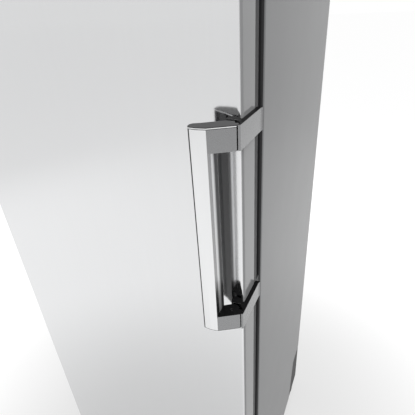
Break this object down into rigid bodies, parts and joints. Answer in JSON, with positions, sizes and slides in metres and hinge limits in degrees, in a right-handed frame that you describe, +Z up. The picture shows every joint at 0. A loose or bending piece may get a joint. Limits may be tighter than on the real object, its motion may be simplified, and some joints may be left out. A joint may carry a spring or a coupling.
{
  "type": "upright freezer",
  "caption": "Tall free-standing freezer with a brushed steel door, hinged left, a lever handle with opening pushers on the right, inner drawers and a rear machine compartment.",
  "frame": {"origin": "on the floor, in the middle of the plan", "axes": "+Z up, front faces -Y, +X to the viewer's right"},
  "size_m": [0.6093, 0.7186, 1.85],
  "materials": {
    "door_steel": "satin",
    "side_silver": "satin",
    "top_grey": "satin",
    "zinc_sheet": "satin",
    "frame_white": "satin",
    "insulation": "matte",
    "liner_white": "satin",
    "plinth_dark": "matte",
    "nylon": "matte",
    "foot_black": "matte",
    "axle_steel": "satin",
    "shelf_glass": "gloss",
    "drawer_clear": "gloss",
    "fan_black": "satin",
    "fin_aluminium": "satin",
    "machine_black": "satin",
    "mount_rubber": "matte",
    "tray_grey": "matte",
    "copper_pipe": "satin",
    "inlet_black": "matte",
    "display_dark": "gloss",
    "board_green": "satin",
    "button_silver": "satin",
    "hinge_black": "satin",
    "door_cap_grey": "satin",
    "edge_dark": "matte",
    "gasket_grey": "matte",
    "bar_metal": "satin",
    "core_dark": "satin",
    "arm_metal": "satin",
    "cap_dark": "satin",
    "pusher_dark": "matte"
  },
  "bodies": {
    "cabinet": {"back_panel": "zinc_sheet", "base_frame": "zinc_sheet", "compressor": "machine_black", "compressor_mounts": "mount_rubber", "condenser_coil": "machine_black", "control_board": "board_green", "control_display": "display_dark", "control_housing": "top_grey", "evaporation_tray": "tray_grey", "evaporator": "fin_aluminium", "evaporator_cover": "liner_white", "fan_motor": "fan_black", "front_frame": "frame_white", "glass_shelves": "shelf_glass", "hinge_bracket_bottom": "hinge_black", "hinge_bracket_top": "hinge_black", "hinge_pins": "axle_steel", "hinge_screws": "axle_steel", "inner_liner": "liner_white", "insulation_foam": "insulation", "mains_inlet": "inlet_black", "plinth_grille": "plinth_dark", "roller_axles": "axle_steel", "side_panel_left": "side_silver", "side_panel_right": "side_silver", "suction_line": "copper_pipe", "top_cover": "top_grey", "wall_spacers": "nylon"},
    "door": {"door_skin": "door_steel", "door_cap_top": "door_cap_grey", "door_cap_bottom": "door_cap_grey", "door_foam": "insulation", "door_liner": "liner_white", "door_edge_frame": "edge_dark", "door_gasket": "gasket_grey", "handle_bracket_upper": "arm_metal", "handle_bracket_lower": "arm_metal", "handle_pivots": "axle_steel"},
    "handle": {"handle_bar": "bar_metal", "handle_core": "core_dark", "handle_arm_upper": "arm_metal", "handle_arm_lower": "arm_metal", "handle_cap_top": "cap_dark", "handle_cap_bottom": "cap_dark"},
    "button_1_body": {"button_1": "button_silver"},
    "button_2_body": {"button_2": "button_silver"},
    "button_3_body": {"button_3": "button_silver"},
    "drawer_1_body": {"drawer_1": "drawer_clear"},
    "drawer_2_body": {"drawer_2": "drawer_clear"},
    "drawer_3_body": {"drawer_3": "drawer_clear"},
    "drawer_4_body": {"drawer_4": "drawer_clear"},
    "drawer_5_body": {"drawer_5": "drawer_clear"},
    "drawer_6_body": {"drawer_6": "drawer_clear"},
    "fan_blade_body": {"fan_blade": "fan_black"},
    "front_foot_left_body": {"front_foot_left": "foot_black"},
    "front_foot_right_body": {"front_foot_right": "foot_black"},
    "pusher_lower_body": {"pusher_lower": "pusher_dark"},
    "pusher_upper_body": {"pusher_upper": "pusher_dark"},
    "rear_roller_left_body": {"rear_roller_left": "nylon"},
    "rear_roller_right_body": {"rear_roller_right": "nylon"}
  },
  "joints": [
    {"name": "door_hinge", "type": "hinge", "parent": "cabinet", "child": "door", "pos_m": [-0.292, -0.2757, 0.935], "axis": [0, 0, -1], "range_deg": [0, 115]},
    {"name": "handle_pull", "type": "hinge", "parent": "door", "child": "handle", "pos_m": [0.286, -0.3317, 1.19525], "axis": [0, 0, 1], "range_deg": [0, 16], "stiffness_Nm_per_rad": 3},
    {"name": "pusher_upper_slide", "type": "slide", "parent": "door", "child": "pusher_upper_body", "axis": [0, 1, 0], "range_m": [0, 0.0045]},
    {"name": "pusher_lower_slide", "type": "slide", "parent": "door", "child": "pusher_lower_body", "axis": [0, 1, 0], "range_m": [0, 0.0045]},
    {"name": "drawer_1_slide", "type": "slide", "parent": "cabinet", "child": "drawer_1_body", "axis": [0, -1, 0], "range_m": [0, 0.202]},
    {"name": "drawer_2_slide", "type": "slide", "parent": "cabinet", "child": "drawer_2_body", "axis": [0, -1, 0], "range_m": [0, 0.202]},
    {"name": "drawer_3_slide", "type": "slide", "parent": "cabinet", "child": "drawer_3_body", "axis": [0, -1, 0], "range_m": [0, 0.202]},
    {"name": "drawer_4_slide", "type": "slide", "parent": "cabinet", "child": "drawer_4_body", "axis": [0, -1, 0], "range_m": [0, 0.202]},
    {"name": "drawer_5_slide", "type": "slide", "parent": "cabinet", "child": "drawer_5_body", "axis": [0, -1, 0], "range_m": [0, 0.202]},
    {"name": "drawer_6_slide", "type": "slide", "parent": "cabinet", "child": "drawer_6_body", "axis": [0, -1, 0], "range_m": [0, 0.202]},
    {"name": "fan_spin", "type": "hinge", "parent": "cabinet", "child": "fan_blade_body", "pos_m": [0, 0.2273, 1.65], "axis": [0, 1, 0], "continuous": true},
    {"name": "rear_roller_left_spin", "type": "hinge", "parent": "cabinet", "child": "rear_roller_left_body", "pos_m": [-0.2884, 0.2693, 0.02], "axis": [1, 0, 0], "continuous": true},
    {"name": "front_foot_left_turn", "type": "hinge", "parent": "cabinet", "child": "front_foot_left_body", "pos_m": [-0.255, -0.1909, 0.03], "axis": [0, 0, 1], "continuous": true},
    {"name": "rear_roller_right_spin", "type": "hinge", "parent": "cabinet", "child": "rear_roller_right_body", "pos_m": [0.2884, 0.2693, 0.02], "axis": [1, 0, 0], "continuous": true},
    {"name": "front_foot_right_turn", "type": "hinge", "parent": "cabinet", "child": "front_foot_right_body", "pos_m": [0.255, -0.1909, 0.03], "axis": [0, 0, 1], "continuous": true},
    {"name": "button_1_press", "type": "slide", "parent": "cabinet", "child": "button_1_body", "axis": [0, 1, 0], "range_m": [0, 0.001], "stiffness_N_per_m": 400},
    {"name": "button_2_press", "type": "slide", "parent": "cabinet", "child": "button_2_body", "axis": [0, 1, 0], "range_m": [0, 0.001], "stiffness_N_per_m": 400},
    {"name": "button_3_press", "type": "slide", "parent": "cabinet", "child": "button_3_body", "axis": [0, 1, 0], "range_m": [0, 0.001], "stiffness_N_per_m": 400}
  ],
  "couplings": [
    {"joint": "pusher_upper_slide", "follows": "handle_pull", "m_per_rad": 0.01575},
    {"joint": "pusher_lower_slide", "follows": "handle_pull", "m_per_rad": 0.01575},
    {"joint": "drawer_1_slide", "follows": "door_hinge", "m_per_rad": 0.1},
    {"joint": "drawer_2_slide", "follows": "door_hinge", "m_per_rad": 0.1},
    {"joint": "drawer_3_slide", "follows": "door_hinge", "m_per_rad": 0.1},
    {"joint": "drawer_4_slide", "follows": "door_hinge", "m_per_rad": 0.1},
    {"joint": "drawer_5_slide", "follows": "door_hinge", "m_per_rad": 0.1},
    {"joint": "drawer_6_slide", "follows": "door_hinge", "m_per_rad": 0.1}
  ]
}
